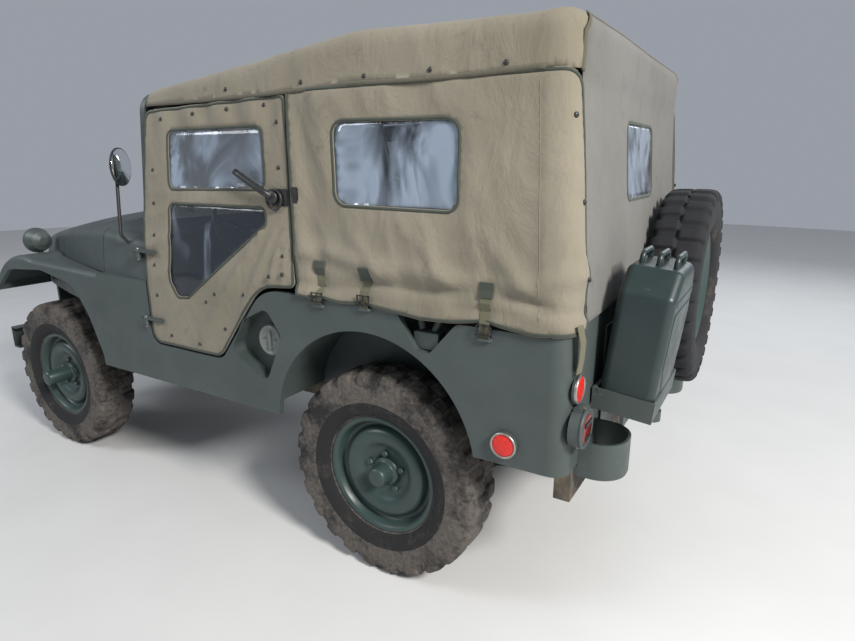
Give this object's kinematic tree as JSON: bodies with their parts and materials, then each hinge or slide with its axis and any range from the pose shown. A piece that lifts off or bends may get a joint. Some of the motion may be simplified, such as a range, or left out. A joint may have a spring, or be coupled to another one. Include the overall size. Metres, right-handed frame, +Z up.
{
  "type": "army 4x4 car",
  "caption": "Open field car with canvas top, soft doors, steered front wheels, rear spare wheel and fuel can.",
  "frame": {"origin": "on the ground, under the middle of the overall length and width", "axes": "+X forwards, +Y to the left side, +Z up"},
  "size_m": [3.5217, 1.565, 1.8494],
  "materials": {
    "body_paint": "semi-gloss grey-olive paint",
    "frame_paint": "dusty dark paint",
    "wheel_paint": "olive wheel paint",
    "tyre_rubber": "matt, mud-caked on the road tyres",
    "canvas": "tan canvas",
    "clear_vinyl": "clear flexible sheet",
    "safety_glass": "clear glass",
    "seat_cloth": "olive seat cloth",
    "engine_paint": "painted iron",
    "pipe_steel": "dull, lightly rusted",
    "lamp_finish": "painted shells with lenses",
    "control_plastic": "black",
    "can_paint": "worn olive paint"
  },
  "bodies": {
    "car": {"chassis_frame": "frame_paint", "suspension": "frame_paint", "front_axle": "frame_paint", "rear_axle": "frame_paint", "side_panel_left": "body_paint", "side_panel_right": "body_paint", "rear_panel": "body_paint", "floor_pan": "body_paint", "cowl": "body_paint", "front_fenders": "body_paint", "grille_panel": "body_paint", "front_lamps": "lamp_finish", "front_bumper": "body_paint", "windshield_frame": "body_paint", "windshield_glass": "safety_glass", "side_curtains": "canvas", "rear_curtain": "canvas", "curtain_windows": "clear_vinyl", "roof_canvas": "canvas", "top_bows": "body_paint", "steering_column": "body_paint", "seat_frames": "body_paint", "seat_cushions": "seat_cloth", "fuel_tank": "body_paint", "engine": "engine_paint", "driveline": "engine_paint", "exhaust": "pipe_steel", "rear_bumperettes": "body_paint", "spare_tyre": "tyre_rubber", "spare_rim": "wheel_paint", "jerry_can": "can_paint", "rear_carriers": "body_paint", "tail_lamps": "lamp_finish", "mirror": "control_plastic"},
    "left_knuckle": {"knuckle_left": "frame_paint"},
    "right_knuckle": {"knuckle_right": "frame_paint"},
    "tie_link": {"tie_rod": "frame_paint"},
    "front_left_wheel": {"wheel_front_left": "wheel_paint", "tyre_front_left": "tyre_rubber"},
    "front_right_wheel": {"wheel_front_right": "wheel_paint", "tyre_front_right": "tyre_rubber"},
    "rear_left_wheel": {"wheel_rear_left": "wheel_paint", "tyre_rear_left": "tyre_rubber"},
    "rear_right_wheel": {"wheel_rear_right": "wheel_paint", "tyre_rear_right": "tyre_rubber"},
    "left_door": {"door_left": "canvas", "door_windows_left": "clear_vinyl"},
    "right_door": {"door_right": "canvas", "door_windows_right": "clear_vinyl"},
    "hood_lid": {"hood": "body_paint"},
    "steering": {"steering_wheel": "control_plastic"}
  },
  "joints": [
    {"name": "steer_left", "type": "hinge", "parent": "car", "child": "left_knuckle", "pos_m": [1.196, 0.585, 0.387], "axis": [0, 0, 1], "range_deg": [-26, 26]},
    {"name": "steer_right", "type": "hinge", "parent": "car", "child": "right_knuckle", "pos_m": [1.196, -0.585, 0.387], "axis": [0, 0, 1], "range_deg": [-26, 26]},
    {"name": "tie_rod_pin", "type": "hinge", "parent": "left_knuckle", "child": "tie_link", "pos_m": [1.346, 0.555, 0.387], "axis": [0, 0, 1], "range_deg": [-28, 28]},
    {"name": "front_left_spin", "type": "hinge", "parent": "left_knuckle", "child": "front_left_wheel", "pos_m": [1.196, 0.6245, 0.387], "axis": [0, 1, 0], "continuous": true},
    {"name": "front_right_spin", "type": "hinge", "parent": "right_knuckle", "child": "front_right_wheel", "pos_m": [1.196, -0.6245, 0.387], "axis": [0, 1, 0], "continuous": true},
    {"name": "rear_left_spin", "type": "hinge", "parent": "car", "child": "rear_left_wheel", "pos_m": [-0.861, 0.6245, 0.387], "axis": [0, 1, 0], "continuous": true},
    {"name": "rear_right_spin", "type": "hinge", "parent": "car", "child": "rear_right_wheel", "pos_m": [-0.861, -0.6245, 0.387], "axis": [0, 1, 0], "continuous": true},
    {"name": "left_door_hinge", "type": "hinge", "parent": "car", "child": "left_door", "pos_m": [0.276, 0.772, 0.9], "axis": [0, 0, -1], "range_deg": [0, 85]},
    {"name": "right_door_hinge", "type": "hinge", "parent": "car", "child": "right_door", "pos_m": [0.276, -0.772, 0.9], "axis": [0, 0, 1], "range_deg": [0, 85]},
    {"name": "hood_hinge", "type": "hinge", "parent": "car", "child": "hood_lid", "pos_m": [0.631, 0, 1.263], "axis": [0, -1, 0], "range_deg": [0, 100]},
    {"name": "steering_spin", "type": "hinge", "parent": "car", "child": "steering", "pos_m": [0.02, 0.35, 1.165], "axis": [-0.8192, 0, 0.5736], "range_deg": [-420, 420]}
  ],
  "couplings": [
    {"joint": "steer_right", "follows": "steer_left", "ratio": 1},
    {"joint": "tie_rod_pin", "follows": "steer_left", "ratio": -1.052},
    {"joint": "steering_spin", "follows": "steer_left", "ratio": 16}
  ]
}
